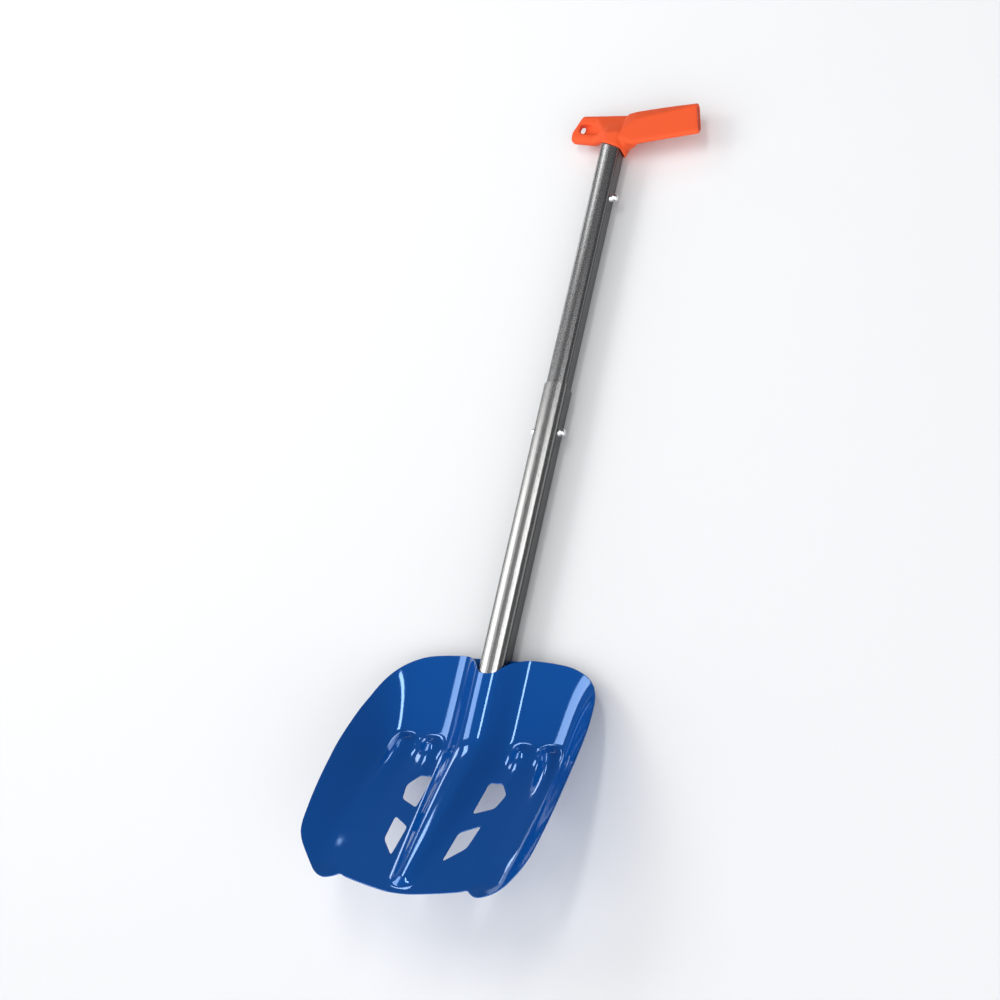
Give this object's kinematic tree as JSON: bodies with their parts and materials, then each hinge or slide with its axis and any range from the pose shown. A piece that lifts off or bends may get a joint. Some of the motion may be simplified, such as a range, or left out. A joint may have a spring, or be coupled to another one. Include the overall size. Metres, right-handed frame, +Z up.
{
  "type": "avalanche shovel",
  "caption": "Avalanche shovel with a blue scoop blade, a two-piece telescoping aluminium shaft with snap buttons and an orange T-grip.",
  "frame": {"origin": "centre of the bounding box in X and Y, on the surface the shovel lies on", "axes": "+X across the blade to its right, +Y along the shaft to the grip, +Z up, out of the scoop"},
  "size_m": [0.237, 0.8477, 0.1038],
  "materials": {
    "blade_paint": "gloss",
    "outer_tube": "brushed",
    "inner_tube": "satin",
    "grip_plastic": "matte",
    "black_plastic": "matte",
    "spring_steel": "satin",
    "button_steel": "polished",
    "stop_plate": "gloss"
  },
  "bodies": {
    "blade": {"blade": "blade_paint", "socket_channel": "blade_paint", "socket_welds": "blade_paint", "socket_stop": "stop_plate"},
    "lower_shaft": {"lower_shaft": "outer_tube", "lower_end_plug": "black_plastic", "blade_button_spring": "spring_steel"},
    "blade_button": {"blade_button": "button_steel"},
    "upper_shaft": {"upper_shaft": "inner_tube", "shaft_glide": "black_plastic", "glide_rivets": "button_steel", "lock_spring": "spring_steel", "stow_spring": "spring_steel", "grip": "grip_plastic", "grip_end_plug": "grip_plastic", "grip_rivet": "button_steel"},
    "lock_button_right": {"lock_button_right": "button_steel"},
    "lock_button_left": {"lock_button_left": "button_steel"},
    "stow_button": {"stow_button": "button_steel"}
  },
  "joints": [
    {"name": "shaft_release", "type": "slide", "parent": "blade", "child": "lower_shaft", "axis": [0, 1, 0], "range_m": [0, 0.09], "deforming": ["blade_button", "blade_button_spring"]},
    {"name": "telescope", "type": "slide", "parent": "lower_shaft", "child": "upper_shaft", "axis": [0, -1, 0], "range_m": [0, 0.266], "deforming": ["lock_button_right", "lock_button_left", "stow_button", "lock_spring", "stow_spring"]},
    {"name": "blade_button_press", "type": "slide", "parent": "lower_shaft", "child": "blade_button", "axis": [0, 0, 1], "range_m": [0, 0.005], "stiffness_N_per_m": 600, "springref_m": -0.005, "deforming": ["blade_button_spring"]},
    {"name": "lock_right_press", "type": "slide", "parent": "upper_shaft", "child": "lock_button_right", "axis": [-1, 0, 0], "range_m": [0, 0.006], "stiffness_N_per_m": 600, "springref_m": -0.005, "deforming": ["lock_spring"]},
    {"name": "lock_left_press", "type": "slide", "parent": "upper_shaft", "child": "lock_button_left", "axis": [1, 0, 0], "range_m": [0, 0.006], "stiffness_N_per_m": 600, "springref_m": -0.005, "deforming": ["lock_spring"]},
    {"name": "stow_press", "type": "slide", "parent": "upper_shaft", "child": "stow_button", "axis": [-1, 0, 0], "range_m": [0, 0.006], "stiffness_N_per_m": 600, "springref_m": -0.005, "deforming": ["stow_spring"]}
  ]
}
